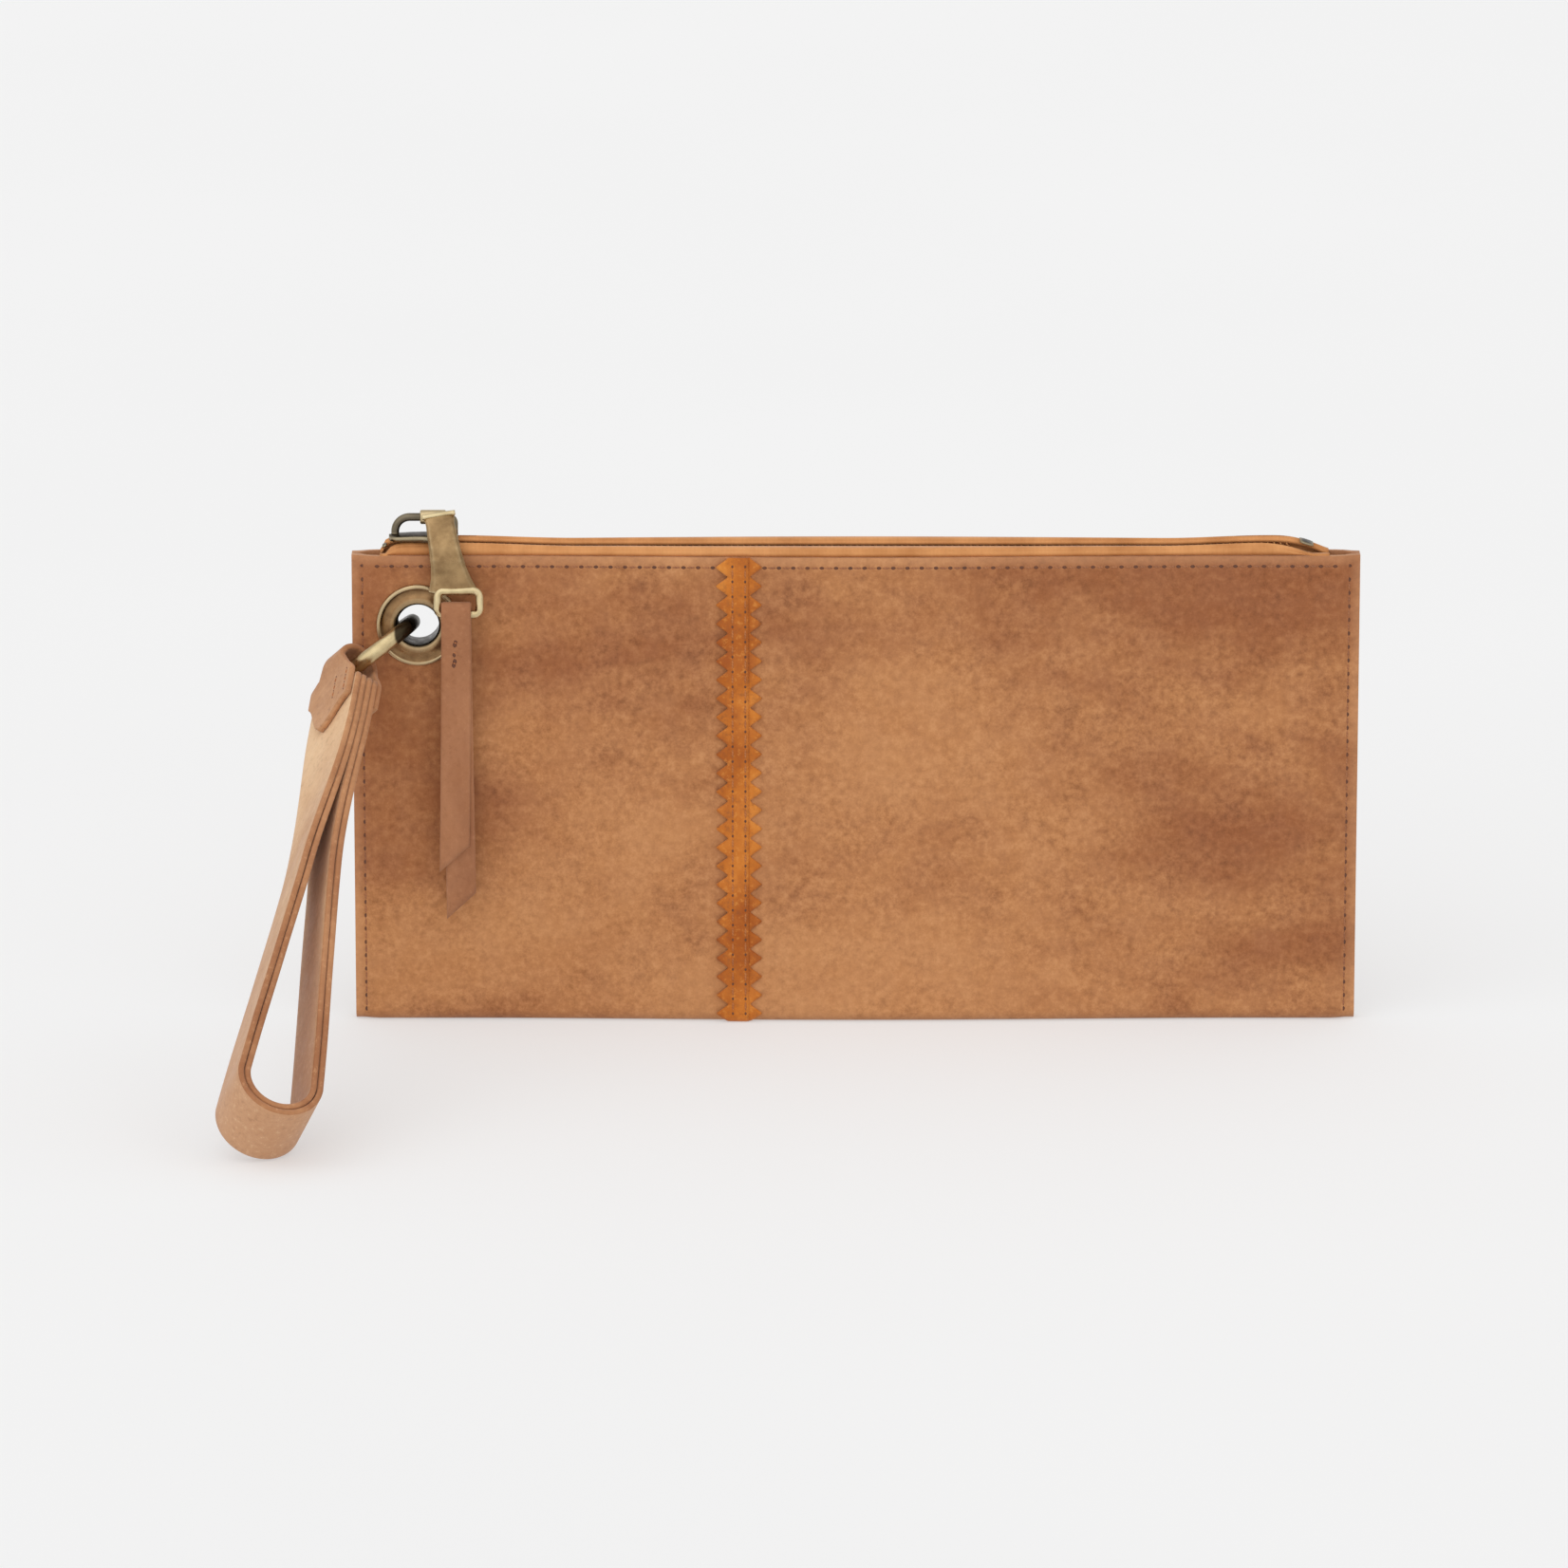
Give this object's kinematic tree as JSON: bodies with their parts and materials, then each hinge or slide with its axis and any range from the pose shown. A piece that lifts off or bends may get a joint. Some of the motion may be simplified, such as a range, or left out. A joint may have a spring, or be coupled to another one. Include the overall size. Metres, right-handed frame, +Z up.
{
  "type": "wristlet wallet",
  "caption": "Slim zip-top leather wristlet wallet with a pinked trim strip, corner eyelet and ring, folding wrist strap and a zip puller with a leather tab.",
  "frame": {"origin": "middle of the flat base that the wallet stands on", "axes": "+X to the right along the width, -Y out of the front, +Z up; the wrist strap is at the left and leans forward"},
  "size_m": [0.2695, 0.1435, 0.126],
  "materials": {
    "leather": "matt distressed nubuck",
    "trim": "smooth vegetable tanned",
    "zip_tape": "woven tape",
    "lining": "plain woven",
    "thread": "waxed thread",
    "brass": "antique brass"
  },
  "bodies": {
    "wallet_body": {"shell_left": "leather", "shell_right": "leather", "trim_front_lower": "trim", "trim_front_upper": "trim", "trim_back_lower": "trim", "trim_back_upper": "trim", "lining": "lining", "card_backing": "lining", "card_slot_top": "lining", "card_slot_middle": "lining", "card_slot_bottom": "lining", "slip_pocket": "lining", "zip_tape_front": "zip_tape", "zip_tape_back": "zip_tape", "zip_coil_front": "zip_tape", "zip_coil_back": "zip_tape", "zip_stop_left": "brass", "zip_stop_right": "brass", "eyelet_front": "brass", "eyelet_back": "brass", "top_stitches_front": "thread", "top_stitches_back": "thread", "side_stitches_front": "thread", "side_stitches_back": "thread", "trim_stitches_front": "thread", "trim_stitches_back": "thread"},
    "slider": {"slider_body": "brass", "slider_bail": "brass"},
    "puller": {"puller": "brass"},
    "pull_tab": {"pull_tab": "leather", "pull_tab_stitches": "thread"},
    "ring": {"ring": "brass"},
    "strap": {"strap_outer": "leather", "strap_inner": "leather", "ring_tab": "leather", "strap_stitches": "thread"}
  },
  "joints": [
    {"name": "slider_travel", "type": "slide", "parent": "wallet_body", "child": "slider", "axis": [1, 0, 0], "range_m": [0, 0.2]},
    {"name": "puller_swing", "type": "hinge", "parent": "slider", "child": "puller", "pos_m": [-0.10115, 0, 0.1243], "axis": [-1, 0, 0], "range_deg": [0, 120]},
    {"name": "pull_tab_swing", "type": "hinge", "parent": "puller", "child": "pull_tab", "pos_m": [-0.09492, -0.0088, 0.1025], "axis": [-1, 0, 0], "range_deg": [0, 60]},
    {"name": "ring_swing", "type": "hinge", "parent": "wallet_body", "child": "ring", "pos_m": [-0.1048, 0, 0.0986], "axis": [0, 1, 0], "range_deg": [0, 60]},
    {"name": "strap_swing", "type": "hinge", "parent": "ring", "child": "strap", "pos_m": [-0.1209, -0.00947, 0.08882], "axis": [-0.5711, 0.6097, -0.5497], "range_deg": [0, 75]}
  ]
}
